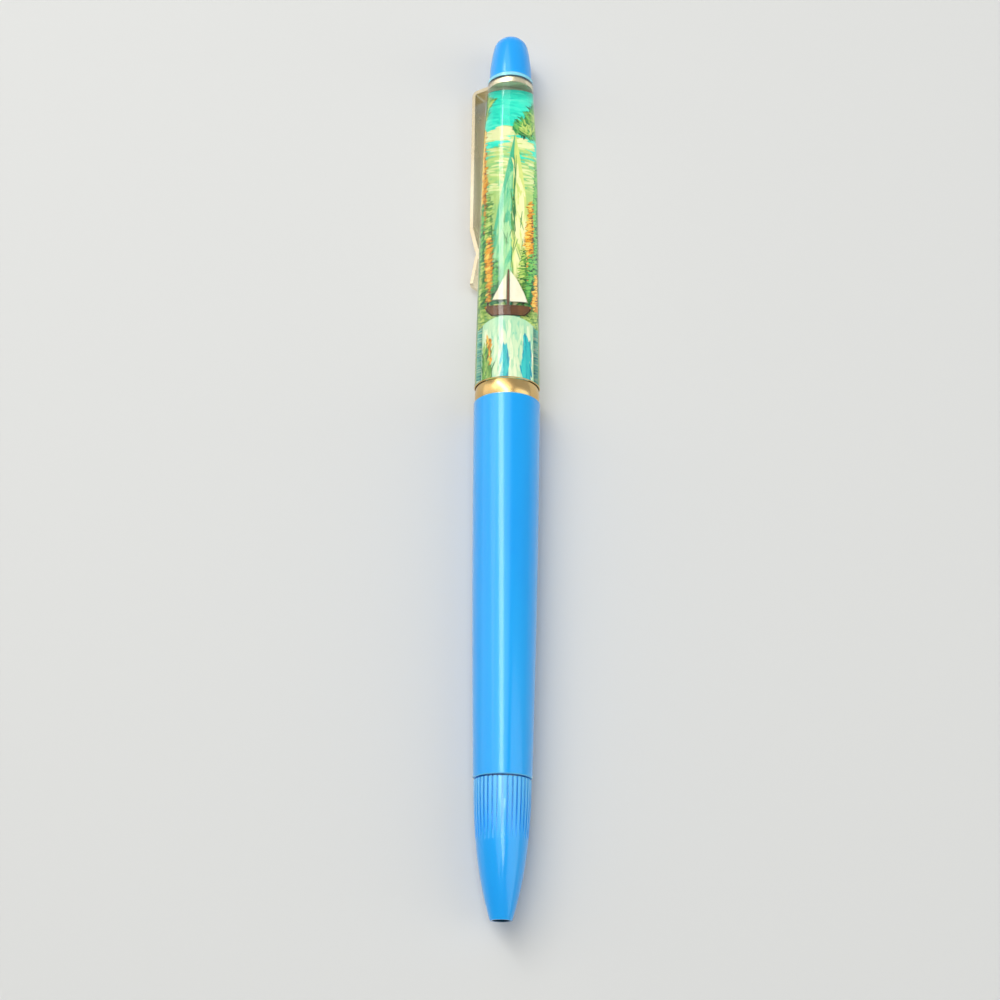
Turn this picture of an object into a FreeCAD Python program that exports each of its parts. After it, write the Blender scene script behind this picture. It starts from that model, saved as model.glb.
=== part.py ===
import FreeCAD, Part
import Sketcher
import os

# Floaty pen: a clear oil-filled scene tube over a blue twist-nose barrel, with a pocket clip
# All lengths are millimetres
# Positions along the pen are counted from the nose opening towards the cap
# Each piece is drawn about its own Z axis and the pen is then laid down along +Y

doc = FreeCAD.newDocument("floaty_pen")
sheet = doc.addObject("Spreadsheet::Sheet", "sizes")

sizes = [
    # whole pen
    ("fit_gap", 0.03, "radial gap of glued and pressed fits"),
    ("run_gap", 0.06, "radial gap of turning and sliding fits"),
    ("seam_gap", 0.2, "open seam between nose and barrel"),
    ("edge_bevel", 0.2, "small bevel on the turned rims"),
    # nose cone
    ("nose_length", 19.3, "nose opening to seam"),
    ("lip_diameter", 3.1, "outside of the nose at its opening"),
    ("nose_low_diameter", 5.5, "nose outline, lower curve"),
    ("nose_low_back", 14.6, "that diameter before the seam"),
    ("nose_waist_diameter", 7.12, "nose outline where the curves meet"),
    ("nose_waist_back", 9.5, "that diameter before the seam"),
    ("nose_high_diameter", 7.9, "nose outline, upper curve"),
    ("nose_high_back", 4.7, "that diameter before the seam"),
    ("seam_diameter", 8.34, "nose and barrel at the seam"),
    ("rib_count", 36, "grooves round the grip"),
    ("rib_floor_diameter", 7.3, "across the floors of the grooves"),
    ("rib_width", 0.28, "width of one groove"),
    ("rib_length", 9.0, "length of the grooves from the seam"),
    # barrel
    ("refill_room", 6.9, "rear end of the refill to the barrel's upper rim, point drawn in"),
    ("barrel_middle_diameter", 9.46, "barrel halfway up"),
    ("barrel_rim_diameter", 9.97, "barrel at its upper rim"),
    ("barrel_bore", 6.0, "bore round the refill"),
    # centre ring
    ("ring_width", 2.3, "length of the centre ring"),
    ("ring_diameter", 9.7, "outside of the centre ring"),
    # scene tube
    ("shoulder_diameter", 9.92, "tube just above the ring"),
    ("tube_waist_diameter", 9.03, "tube where its upper curve starts"),
    ("tube_waist_drop", 21.5, "that diameter below the tube's rim"),
    ("tube_high_diameter", 8.44, "tube outline on that curve"),
    ("tube_high_drop", 11.7, "that diameter below the tube's rim"),
    ("neck_diameter", 7.38, "tube below its rim"),
    ("neck_drop", 3.0, "that diameter below the tube's rim"),
    ("tube_rim_diameter", 7.3, "tube at its upper rim"),
    ("tube_length", 52.6, "centre ring to the tube's upper rim"),
    ("spigot_diameter", 8.3, "tube end inside ring and barrel"),
    ("spigot_depth", 8.7, "depth of that end in the barrel"),
    ("chamber_low_diameter", 6.9, "oil chamber at its lower end"),
    ("chamber_high_diameter", 6.0, "oil chamber at its upper end"),
    # stoppers
    ("low_stopper_length", 6.7, "lower stopper"),
    ("high_stopper_length", 1.5, "upper stopper"),
    ("stopper_web", 0.2, "what the upper stopper leaves over the film's head"),
    ("film_seat", 1.0, "depth of the film slots in the lower stopper"),
    # films and floater
    ("film_thickness", 0.2, "picture films"),
    ("film_offset", 0.9, "middle of each film from the axis"),
    ("film_edge_gap", 0.1, "film edge to the chamber wall"),
    ("front_film_side", 9.8, "height of the front film at its sides, over the ring"),
    ("front_film_middle", 11.2, "height of the front film at its middle, over the ring"),
    ("floater_thickness", 0.5, "floater film"),
    ("floater_height", 7.6, "hull to mast top"),
    ("floater_half_beam", 2.3, "half the length of the hull"),
    ("floater_rise", 11.6, "foot of the hull over the ring"),
    # clip
    ("clip_thickness", 0.6, "clip strip"),
    ("clip_width", 2.7, "clip strip"),
    ("clip_reach", 6.6, "axis to the outer face of the clip"),
    ("clip_bend", 0.9, "outer radius of the bend over the rim"),
    ("clip_sink_drop", 23.9, "tube's rim to where the strip turns inwards"),
    ("clip_touch_drop", 28.8, "tube's rim to where the strip is nearest the tube"),
    ("clip_touch_gap", 0.05, "what is left between strip and tube there"),
    ("clip_tip_drop", 34.2, "tube's rim to the free end of the clip"),
    ("clip_tip_reach", 6.5, "axis to the outer face at the free end"),
    ("clip_corner", 0.7, "corner radius of the free end"),
    ("collar_wall", 0.4, "wall and floor of the clip's cup"),
    ("collar_length", 1.0, "depth of the clip's cup in the tube"),
    # end cap
    ("cap_length", 8.8, "tube's rim to the top of the cap"),
    ("flange_diameter", 7.26, "cap at the tube's rim"),
    ("flange_height", 0.8, "height of that flange"),
    ("cap_base_diameter", 6.7, "cap above the flange"),
    ("cap_middle_diameter", 6.24, "cap outline"),
    ("cap_middle_drop", 4.4, "that diameter below the cap's top"),
    ("cap_crown_diameter", 5.4, "cap where the dome starts"),
    ("cap_crown_drop", 2.0, "that diameter below the cap's top"),
    ("cap_dome_diameter", 3.36, "cap on the dome"),
    ("cap_dome_drop", 0.5, "that diameter below the cap's top"),
    ("cap_gate_diameter", 0.6, "small flat at the very top"),
    # twist mechanism
    ("travel", 5.0, "way of the refill for half a turn"),
    ("pin_diameter", 1.0, "drive pins"),
    ("pin_back", 1.3, "seam to the pins with the point drawn in"),
    ("pin_tip_diameter", 6.4, "across the outer ends of the pins"),
    ("keyway_diameter", 6.56, "across the floors of the keyways"),
    ("sleeve_reach", 11.3, "seam to the front end of the cam sleeve"),
    ("sleeve_seat", 10.7, "seam to the rear end of the cam sleeve"),
    ("sleeve_bore", 4.6, "inside of the cam sleeve"),
    ("sleeve_diameter", 5.6, "sleeve inside the nose"),
    ("sleeve_seat_diameter", 6.6, "sleeve inside the barrel"),
    ("slot_width", 1.4, "cam slot along the pen"),
    ("slot_lead_out", 13.9, "degrees of slot past each end place of the pins"),
    ("snap_back", 1.5, "sleeve's front end to the snap groove"),
    ("snap_width", 1.0, "width of the snap groove"),
    ("snap_depth", 0.26, "depth of the snap groove"),
    ("carrier_half", 4.0, "half the length of the refill carrier"),
    # refill
    ("point_place", 2.4, "front of the ball with the point drawn in"),
    ("refill_length", 67.0, "ball to rear end"),
    ("refill_diameter", 2.35, "refill tube"),
    ("refill_bore", 1.8, "inside of the refill tube"),
    ("point_length", 8.0, "metal point outside the refill tube"),
    ("point_stem", 2.5, "stem of the point inside the refill tube"),
    ("point_tip_diameter", 0.95, "metal point at its rim"),
    ("ball_diameter", 0.7, "writing ball"),
]

row = 1
for alias, value, note in sizes:
    sheet.set("A%d" % row, note)
    sheet.set("B%d" % row, str(value))
    sheet.setAlias("B%d" % row, alias)
    row = row + 1
doc.recompute()

# places along the pen, each worked out from the sizes and from places before it
places = [
    ("nose_low", "(sizes.nose_length - sizes.nose_low_back)"),
    ("nose_waist", "(sizes.nose_length - sizes.nose_waist_back)"),
    ("nose_high", "(sizes.nose_length - sizes.nose_high_back)"),
    ("sleeve_start", "(sizes.nose_length - sizes.sleeve_reach)"),
    ("sleeve_end", "(sizes.nose_length + sizes.sleeve_seat)"),
    ("snap", "(at.sleeve_start + sizes.snap_back)"),
    ("pins", "(sizes.nose_length - sizes.pin_back)"),
    ("barrel_end", "(sizes.point_place + sizes.refill_length + sizes.refill_room)"),
    ("ring_top", "(at.barrel_end + sizes.ring_width)"),
    ("floater", "(at.ring_top + sizes.floater_rise)"),
    ("tube_end", "(at.ring_top + sizes.tube_length)"),
    ("tube_waist", "(at.tube_end - sizes.tube_waist_drop)"),
    ("tube_high", "(at.tube_end - sizes.tube_high_drop)"),
    ("neck", "(at.tube_end - sizes.neck_drop)"),
    ("clip_sink", "(at.tube_end - sizes.clip_sink_drop)"),
    ("clip_touch", "(at.tube_end - sizes.clip_touch_drop)"),
    ("clip_tip", "(at.tube_end - sizes.clip_tip_drop)"),
    ("cap_top", "(at.tube_end + sizes.cap_length)"),
]


def full(text):
    # writes a place out in sizes, the last places first because they lean on the earlier ones
    for name, rule in reversed(places):
        text = text.replace("at." + name, rule)
    return text


# the axis lies one rim radius above the table, and the clip's edge rests on the table too
AXIS = "sizes.barrel_rim_diameter / 2"
HALF = "sizes.clip_width / 2"
CORNER = "sqrt(sizes.clip_reach ^ 2 + (" + HALF + ") ^ 2)"
LEAN = "atan((" + HALF + ") / sizes.clip_reach)"
DROP = "(asin((" + AXIS + ") / " + CORNER + ") - " + LEAN + ")"
SIDE = "((" + CORNER + " * cos(" + DROP + " - " + LEAN + ") - " + AXIS + ") / 2)"
LAID = "rotation(vector(1; 0; 0); -90)"
BASE = "vector(" + SIDE + "; -at.cap_top / 2; " + AXIS + ")"


def new_body(name):
    body = doc.addObject("PartDesign::Body", name)
    body.Label = name
    body.setExpression("Placement", full("placement(" + BASE + "; " + LAID + ")"))
    return body


def plane_of(body, role):
    for feature in body.Origin.OriginFeatures:
        if feature.Role == role:
            return feature


def new_sketch(body, name, role, lift=None):
    sketch = body.newObject("Sketcher::SketchObject", name)
    sketch.AttachmentSupport = (plane_of(body, role), [""])
    sketch.MapMode = "FlatFace"
    if lift:
        sketch.setExpression("AttachmentOffset.Base.z", full(lift))
    return sketch


def number(sketch, text):
    return float(sketch.evalExpression(full(text)))


def hold(sketch, geometry, point, across, along):
    # pins one point of a sketch to two sheet-driven distances from the sketch's origin
    for kind, text, axis in (("DistanceX", across, -2), ("DistanceY", along, -1)):
        amount = number(sketch, text)
        if abs(amount) < 1e-9:
            sketch.addConstraint(Sketcher.Constraint("PointOnObject", geometry, point, axis))
        elif amount > 0:
            index = sketch.addConstraint(Sketcher.Constraint(kind, -1, 1, geometry, point, amount))
            sketch.setExpression("Constraints[%d]" % index, full(text))
        else:
            index = sketch.addConstraint(Sketcher.Constraint(kind, geometry, point, -1, 1, -amount))
            sketch.setExpression("Constraints[%d]" % index, full("-(" + text + ")"))


def outline(sketch, corners):
    # closed outline; a corner with four entries is reached by an arc through the last two
    spots = []
    for corner in corners:
        spots.append(FreeCAD.Vector(number(sketch, corner[0]), number(sketch, corner[1]), 0))
    count = len(corners)
    sides = []
    for i in range(count):
        start = spots[i]
        end = spots[(i + 1) % count]
        target = corners[(i + 1) % count]
        if len(target) == 4:
            middle = FreeCAD.Vector(number(sketch, target[2]), number(sketch, target[3]), 0)
            turn = (middle - start).cross(end - middle).z
            first = 1 if turn > 0 else 2
            curve = Part.Arc(start, middle, end) if turn > 0 else Part.Arc(end, middle, start)
            side = sketch.addGeometry(curve)
            sides.append((side, first, 3 - first, target, middle))
        else:
            side = sketch.addGeometry(Part.LineSegment(start, end))
            sides.append((side, 1, 2, None, None))
    for i in range(count):
        this = sides[i]
        after = sides[(i + 1) % count]
        sketch.addConstraint(Sketcher.Constraint("Coincident", this[0], this[2], after[0], after[1]))
    for i in range(count):
        hold(sketch, sides[i][0], sides[i][1], corners[i][0], corners[i][1])
    for side in sides:
        if side[3]:
            dot = sketch.addGeometry(Part.Point(side[4]), True)
            hold(sketch, dot, 1, side[3][2], side[3][3])
            sketch.addConstraint(Sketcher.Constraint("PointOnObject", dot, 1, side[0]))


def turned(body, name, corners):
    sketch = new_sketch(body, name + "_profile", "XZ_Plane")
    outline(sketch, corners)
    made = body.newObject("PartDesign::Revolution", name)
    made.Profile = sketch
    made.ReferenceAxis = (sketch, ["V_Axis"])
    made.Angle = 360.0
    doc.recompute()
    return made


def padded(body, name, role, lift, corners, length, both=False):
    sketch = new_sketch(body, name + "_outline", role, lift)
    outline(sketch, corners)
    made = body.newObject("PartDesign::Pad", name)
    made.Profile = sketch
    made.setExpression("Length", full(length))
    if both:
        made.SideType = "Symmetric"
    doc.recompute()
    return made


def cut(body, name, role, lift, corners, length, both=False, flip=False):
    sketch = new_sketch(body, name + "_outline", role, lift)
    outline(sketch, corners)
    made = body.newObject("PartDesign::Pocket", name)
    made.Profile = sketch
    made.setExpression("Length", full(length))
    made.Reversed = flip
    if both:
        made.SideType = "Symmetric"
    doc.recompute()
    return made


def block(left, right, low, high):
    return [(left, low), (right, low), (right, high), (left, high)]


def half(name):
    return "sizes." + name + " / 2"


NOSE_BORE = half("refill_diameter") + " + sizes.run_gap"
NOSE_ROOM = half("sleeve_diameter") + " + sizes.run_gap"
PIN_LOW = "at.pins - sizes.travel"
RING_TOP = "at.ring_top"
CHAMBER_LOW = half("chamber_low_diameter")
CHAMBER_HIGH = half("chamber_high_diameter")
COLLAR_LOW = "at.tube_end - sizes.collar_length"
CUP_FLOOR = COLLAR_LOW + " + sizes.collar_wall"
STOPPER_LOW = COLLAR_LOW + " - sizes.high_stopper_length"
LOW_STOPPER_TOP = RING_TOP + " - 0.4"
BARREL_START = "sizes.nose_length + sizes.seam_gap"
CLIP_HOLE = CHAMBER_HIGH + " - sizes.fit_gap - sizes.collar_wall"

# nose cone: hollow ogive with a snap bead near its front, straight keyways and a ribbed grip
nose = new_body("nose_cone")
bead = "at.snap + 0.12"
bead_end = "at.snap + sizes.snap_width - 0.12"
bead_radius = half("sleeve_diameter") + " - sizes.snap_depth + sizes.run_gap"
turned(nose, "nose_shell", [
    (NOSE_BORE, "0"),
    (half("lip_diameter"), "0"),
    (half("nose_waist_diameter"), "at.nose_waist", half("nose_low_diameter"), "at.nose_low"),
    (half("seam_diameter") + " - sizes.edge_bevel / 2", "sizes.nose_length - sizes.edge_bevel / 2",
     half("nose_high_diameter"), "at.nose_high"),
    (half("seam_diameter") + " - sizes.edge_bevel", "sizes.nose_length"),
    (NOSE_ROOM, "sizes.nose_length"),
    (NOSE_ROOM, bead_end + " + 0.15"),
    (bead_radius, bead_end),
    (bead_radius, bead),
    (NOSE_ROOM, bead + " - 0.15"),
    (NOSE_ROOM, "at.sleeve_start - 0.2"),
    (NOSE_BORE, "at.sleeve_start - 3"),
])
# two keyways carry the pins round with the nose and let them slide along it
cut(nose, "keyway_slots", "XY_Plane", PIN_LOW + " - sizes.pin_diameter / 2 - 0.4",
    block("-" + half("keyway_diameter"), half("keyway_diameter"),
          "-(" + half("pin_diameter") + " + sizes.run_gap)", half("pin_diameter") + " + sizes.run_gap"),
    "sizes.nose_length", flip=True)
# the grooves keep one floor and run out where the cone narrows below it
groove = cut(nose, "grip_groove", "XY_Plane", "sizes.nose_length - sizes.rib_length",
             block(half("rib_floor_diameter"), half("seam_diameter") + " + 1",
                   "-" + half("rib_width"), half("rib_width")),
             "sizes.rib_length + 1", flip=True)
ribs = nose.newObject("PartDesign::PolarPattern", "grip_grooves")
ribs.Originals = [groove]
ribs.Axis = (plane_of(nose, "Z_Axis"), [""])
ribs.Angle = 360
ribs.setExpression("Occurrences", full("sizes.rib_count"))
nose.Tip = ribs
doc.recompute()

# barrel: one opaque blue shell, seated on the cam sleeve and open above for the scene tube
barrel = new_body("barrel")
turned(barrel, "barrel_shell", [
    (half("sleeve_seat_diameter") + " + sizes.fit_gap", BARREL_START),
    (half("seam_diameter") + " - sizes.edge_bevel / 2", BARREL_START),
    (half("seam_diameter"), BARREL_START + " + sizes.edge_bevel / 2"),
    (half("barrel_rim_diameter"), "at.barrel_end - sizes.edge_bevel",
     half("barrel_middle_diameter"), "(sizes.nose_length + at.barrel_end) / 2"),
    (half("barrel_rim_diameter") + " - sizes.edge_bevel", "at.barrel_end"),
    (half("spigot_diameter") + " + sizes.fit_gap", "at.barrel_end"),
    (half("spigot_diameter") + " + sizes.fit_gap", "at.barrel_end - sizes.spigot_depth"),
    (half("barrel_bore"), "at.barrel_end - sizes.spigot_depth"),
    (half("barrel_bore"), "at.sleeve_end"),
    (half("sleeve_seat_diameter") + " + sizes.fit_gap", "at.sleeve_end"),
])

# centre ring: turned metal ring held between the barrel's rim and the tube's shoulder
ring = new_body("centre_ring")
turned(ring, "ring_band", [
    (half("spigot_diameter") + " + sizes.fit_gap", "at.barrel_end"),
    (half("ring_diameter") + " - 0.15", "at.barrel_end"),
    (half("ring_diameter") + " - 0.15", RING_TOP,
     half("ring_diameter"), "at.barrel_end + sizes.ring_width / 2"),
    (half("spigot_diameter") + " + sizes.fit_gap", RING_TOP),
])

# scene tube: clear moulding with a stepped spigot below and a tapering oil chamber
tube = new_body("scene_tube")
turned(tube, "tube_wall", [
    (CHAMBER_LOW, "at.barrel_end - sizes.spigot_depth"),
    (half("spigot_diameter"), "at.barrel_end - sizes.spigot_depth"),
    (half("spigot_diameter"), RING_TOP),
    (half("shoulder_diameter"), RING_TOP),
    (half("tube_waist_diameter"), "at.tube_waist"),
    (half("neck_diameter"), "at.neck", half("tube_high_diameter"), "at.tube_high"),
    (half("tube_rim_diameter"), "at.tube_end"),
    (CHAMBER_HIGH, "at.tube_end"),
    (CHAMBER_HIGH, STOPPER_LOW),
    (CHAMBER_LOW, RING_TOP),
])

# lower stopper: closes the chamber inside the spigot and holds the feet of both films
low_stopper = new_body("bottom_stopper")
turned(low_stopper, "stopper_plug", [
    ("0", LOW_STOPPER_TOP + " - sizes.low_stopper_length"),
    (CHAMBER_LOW + " - sizes.fit_gap - 0.3", LOW_STOPPER_TOP + " - sizes.low_stopper_length"),
    (CHAMBER_LOW + " - sizes.fit_gap", LOW_STOPPER_TOP + " - sizes.low_stopper_length + 0.5"),
    (CHAMBER_LOW + " - sizes.fit_gap", LOW_STOPPER_TOP),
    ("0", LOW_STOPPER_TOP),
])
slot_half = "sizes.film_thickness / 2 + sizes.fit_gap"
for name, sign in (("back_slot", ""), ("front_slot", "-")):
    middle = sign + "sizes.film_offset"
    cut(low_stopper, name, "XY_Plane", LOW_STOPPER_TOP + " - sizes.film_seat",
        block("-" + CHAMBER_LOW, CHAMBER_LOW, middle + " - (" + slot_half + ")",
              middle + " + " + slot_half), "sizes.film_seat + 1", flip=True)

# upper stopper: clear plug that the cap presses down, with one slot for the back film
high_stopper = new_body("top_stopper")
turned(high_stopper, "stopper_disc", [
    ("0", STOPPER_LOW),
    (CHAMBER_HIGH + " - sizes.fit_gap", STOPPER_LOW),
    (CHAMBER_HIGH + " - sizes.fit_gap", COLLAR_LOW),
    ("0", COLLAR_LOW),
])
cut(high_stopper, "film_slot", "XY_Plane", STOPPER_LOW + " - 1",
    block("-" + CHAMBER_HIGH, CHAMBER_HIGH, "sizes.film_offset - (" + slot_half + ")",
          "sizes.film_offset + " + slot_half), "1 + sizes.high_stopper_length - sizes.stopper_web", flip=True)

# back film: the printed landscape, standing behind the axis over the whole chamber
FILM_FAR = "(sizes.film_offset + sizes.film_thickness / 2)"
BACK_LOW = "sqrt((" + CHAMBER_LOW + ") ^ 2 - " + FILM_FAR + " ^ 2) - sizes.film_edge_gap"
BACK_HIGH = "sqrt((" + CHAMBER_HIGH + ") ^ 2 - " + FILM_FAR + " ^ 2) - sizes.film_edge_gap"
FILM_FOOT = LOW_STOPPER_TOP + " - sizes.film_seat"
FILM_HEAD = COLLAR_LOW + " - sizes.stopper_web"
back_film = new_body("background_film")
padded(back_film, "film_sheet", "XZ_Plane", "-sizes.film_offset - sizes.film_thickness / 2", [
    ("-(" + BACK_LOW + ")", FILM_FOOT),
    (BACK_LOW, FILM_FOOT),
    (BACK_LOW, RING_TOP),
    (BACK_HIGH, STOPPER_LOW),
    (BACK_HIGH, FILM_HEAD),
    ("-(" + BACK_HIGH + ")", FILM_HEAD),
    ("-(" + BACK_HIGH + ")", STOPPER_LOW),
    ("-(" + BACK_LOW + ")", RING_TOP),
], "sizes.film_thickness")

# front film: the low foreground, standing in front of the axis
front_film = new_body("foreground_film")
FRONT = BACK_LOW + " - 0.12"
padded(front_film, "film_sheet", "XZ_Plane", "sizes.film_offset - sizes.film_thickness / 2", [
    ("-(" + FRONT + ")", FILM_FOOT),
    (FRONT, FILM_FOOT),
    (FRONT, RING_TOP + " + sizes.front_film_side"),
    ("-(" + FRONT + ")", RING_TOP + " + sizes.front_film_side",
     "0", RING_TOP + " + sizes.front_film_middle"),
], "sizes.film_thickness")

# floater: a small die-cut sailing boat that drifts between the films
floater = new_body("floater")
BEAM = "sizes.floater_half_beam"
FOOT = "at.floater"
TALL = "sizes.floater_height"
padded(floater, "boat", "XZ_Plane", "-sizes.floater_thickness / 2", [
    ("-" + BEAM + " * 0.7", FOOT),
    (BEAM + " * 0.7", FOOT),
    (BEAM, FOOT + " + " + TALL + " * 0.21"),
    ("0.2", FOOT + " + " + TALL + " * 0.21"),
    ("0.2", FOOT + " + " + TALL + " * 0.3"),
    (BEAM + " * 0.86", FOOT + " + " + TALL + " * 0.3"),
    ("0.2", FOOT + " + " + TALL),
    ("-0.2", FOOT + " + " + TALL),
    ("-" + BEAM + " * 0.7", FOOT + " + " + TALL + " * 0.34"),
    ("-0.2", FOOT + " + " + TALL + " * 0.34"),
    ("-0.2", FOOT + " + " + TALL + " * 0.21"),
    ("-" + BEAM, FOOT + " + " + TALL + " * 0.21"),
], "sizes.floater_thickness")

# end cap: blue bullet with a flange on the tube's rim and a spigot through the clip's collar
cap = new_body("end_cap")
turned(cap, "cap_bullet", [
    ("0", CUP_FLOOR + " + sizes.fit_gap"),
    (CLIP_HOLE + " - sizes.fit_gap", CUP_FLOOR + " + sizes.fit_gap"),
    (CLIP_HOLE + " - sizes.fit_gap", "at.tube_end + sizes.clip_thickness + sizes.fit_gap"),
    (CHAMBER_HIGH, "at.tube_end + sizes.clip_thickness + sizes.fit_gap"),
    (CHAMBER_HIGH, "at.tube_end"),
    (half("flange_diameter"), "at.tube_end"),
    (half("flange_diameter"), "at.tube_end + sizes.flange_height - 0.3"),
    (half("cap_base_diameter"), "at.tube_end + sizes.flange_height"),
    (half("cap_crown_diameter"), "at.cap_top - sizes.cap_crown_drop",
     half("cap_middle_diameter"), "at.cap_top - sizes.cap_middle_drop"),
    (half("cap_gate_diameter"), "at.cap_top",
     half("cap_dome_diameter"), "at.cap_top - sizes.cap_dome_drop"),
    ("0", "at.cap_top"),
])
# a notch in the flange lets the clip's arm out between cap and tube
notch = new_sketch(cap, "notch_outline", "XY_Plane", "at.tube_end")
notch.AttachmentOffset = FreeCAD.Placement(FreeCAD.Vector(), FreeCAD.Rotation(FreeCAD.Vector(0, 0, 1), 10))
notch.setExpression("AttachmentOffset.Base.z", full("at.tube_end"))
notch.setExpression("AttachmentOffset.Rotation.Angle", full("180 deg - " + DROP))
outline(notch, block(CHAMBER_HIGH + " - 0.6", "sizes.flange_diameter", "-(" + HALF + " + sizes.fit_gap)", HALF + " + sizes.fit_gap"))
arm_room = cap.newObject("PartDesign::Pocket", "arm_notch")
arm_room.Profile = notch
arm_room.setExpression("Length", full("sizes.clip_thickness + sizes.fit_gap"))
arm_room.Reversed = True
doc.recompute()

# clip: strip bent over the rim, sinking to touch the tube and flaring out at its free end
clip = new_body("clip")
turned_clip = LAID + " * rotation(vector(0; 0; 1); 180 deg - " + DROP + ")"
clip.setExpression("Placement", full("placement(" + BASE + "; " + turned_clip + ")"))
THICK = "sizes.clip_thickness"
OUT = "sizes.clip_reach"
IN = OUT + " - " + THICK
TOP = "at.tube_end + " + THICK
BEND = "sizes.clip_bend"
TAPER = "((sizes.shoulder_diameter - sizes.tube_waist_diameter) / (at.tube_waist - " + RING_TOP + "))"
TOUCH_DIAMETER = "(sizes.tube_waist_diameter + " + TAPER + " * (at.tube_waist - at.clip_touch))"
TOUCH = TOUCH_DIAMETER + " / 2 + sizes.clip_touch_gap"
SINK = "at.clip_sink"
NEAR = "at.clip_touch"
TIP = "at.clip_tip"
strip = padded(clip, "strip", "XZ_Plane", None, [
    (CLIP_HOLE + " + 0.1", "at.tube_end"),
    (IN + " - 0.3", "at.tube_end"),
    (IN, "at.tube_end - 0.3", IN + " - 0.088", "at.tube_end - 0.088"),
    (IN, SINK),
    (TOUCH + " + 0.25", NEAR + " + 0.9"),
    (TOUCH + " + 0.25", NEAR + " - 0.9", TOUCH, NEAR),
    ("sizes.clip_tip_reach - " + THICK, TIP),
    ("sizes.clip_tip_reach", TIP + " + 0.1"),
    (TOUCH + " + 0.25 + " + THICK, NEAR + " - 0.6"),
    (TOUCH + " + 0.25 + " + THICK, NEAR + " + 0.6", TOUCH + " + " + THICK + " + 0.05", NEAR),
    (OUT, SINK + " - 0.4"),
    (OUT, TOP + " - " + BEND),
    (OUT + " - " + BEND, TOP, OUT + " - " + BEND + " * 0.2929", TOP + " - " + BEND + " * 0.2929"),
    (CLIP_HOLE + " + 0.1", TOP),
], "sizes.clip_width", both=True)
# the two corners of the clip's free end are rounded
ends = []
for i, edge in enumerate(strip.Shape.Edges):
    box = edge.BoundBox
    if box.ZMax < number(strip.Profile[0], TIP) + 0.3 and box.YLength < 0.01 and box.XLength > 0.3:
        ends.append("Edge%d" % (i + 1))
corners = clip.newObject("PartDesign::Fillet", "tip_corners")
corners.Base = (strip, ends)
corners.setExpression("Radius", full("sizes.clip_corner"))
doc.recompute()
turned(clip, "collar", [
    ("0", COLLAR_LOW),
    (CHAMBER_HIGH + " - sizes.fit_gap", COLLAR_LOW),
    (CHAMBER_HIGH + " - sizes.fit_gap", TOP),
    (CLIP_HOLE, TOP),
    (CLIP_HOLE, CUP_FLOOR),
    ("0", CUP_FLOOR),
])

# cam sleeve: fixed in the barrel, it carries the nose on its neck and guides the pins
sleeve = new_body("cam_sleeve")
turned(sleeve, "sleeve_wall", [
    (half("sleeve_bore"), "at.sleeve_start"),
    (half("sleeve_diameter"), "at.sleeve_start"),
    (half("sleeve_diameter"), "at.snap - 0.15"),
    (half("sleeve_diameter") + " - sizes.snap_depth", "at.snap"),
    (half("sleeve_diameter") + " - sizes.snap_depth", "at.snap + sizes.snap_width"),
    (half("sleeve_diameter"), "at.snap + sizes.snap_width + 0.15"),
    (half("sleeve_diameter"), BARREL_START),
    (half("sleeve_seat_diameter"), BARREL_START),
    (half("sleeve_seat_diameter"), "at.sleeve_end"),
    (half("sleeve_bore"), "at.sleeve_end"),
])
# the cam slot is swept half a turn and a little more, then repeated on the other side
past = "sizes.travel * sizes.slot_lead_out / 180"
window = new_sketch(sleeve, "slot_section", "XZ_Plane")
window.AttachmentOffset = FreeCAD.Placement(FreeCAD.Vector(), FreeCAD.Rotation(FreeCAD.Vector(0, 1, 0), 10))
window.setExpression("AttachmentOffset.Rotation.Angle", full("sizes.slot_lead_out"))
slot_low = "(" + PIN_LOW + " - " + past + ")"
outline(window, block(half("sleeve_bore") + " - 0.4", half("sleeve_diameter") + " + 0.4",
                      slot_low + " - sizes.slot_width / 2", slot_low + " + sizes.slot_width / 2"))
slot = sleeve.newObject("PartDesign::SubtractiveHelix", "cam_slot")
slot.Profile = window
slot.ReferenceAxis = (window, ["V_Axis"])
slot.Mode = "pitch-height-angle"
slot.setExpression("Pitch", full("sizes.travel * 2"))
slot.setExpression("Height", full("sizes.travel + 2 * " + past))
slot.LeftHanded = True
doc.recompute()
pair = sleeve.newObject("PartDesign::PolarPattern", "cam_slots")
pair.Originals = [slot]
pair.Axis = (plane_of(sleeve, "Z_Axis"), [""])
pair.Angle = 360
pair.Occurrences = 2
sleeve.Tip = pair
doc.recompute()

# refill carrier: grips the refill and holds the two drive pins
carrier = new_body("refill_carrier")
GRIP = half("refill_diameter") + " + sizes.fit_gap"
turned(carrier, "carrier_bush", [
    (GRIP, "at.pins - sizes.carrier_half"),
    (half("sleeve_bore") + " - sizes.run_gap", "at.pins - sizes.carrier_half"),
    (half("sleeve_bore") + " - sizes.run_gap", "at.pins + sizes.carrier_half"),
    (GRIP, "at.pins + sizes.carrier_half"),
])
drill = new_sketch(carrier, "pin_holes_outline", "YZ_Plane")
circle = drill.addGeometry(Part.Circle(FreeCAD.Vector(0, number(drill, "at.pins"), 0), FreeCAD.Vector(0, 0, 1), 0.5))
hold(drill, circle, 3, "0", "at.pins")
index = drill.addConstraint(Sketcher.Constraint("Diameter", circle, 1.0))
drill.setExpression("Constraints[%d]" % index, full("sizes.pin_diameter + 2 * sizes.fit_gap"))
holes = carrier.newObject("PartDesign::Pocket", "pin_holes")
holes.Profile = drill
holes.SideType = "Symmetric"
holes.setExpression("Length", full("sizes.sleeve_bore + 2"))
doc.recompute()

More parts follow.
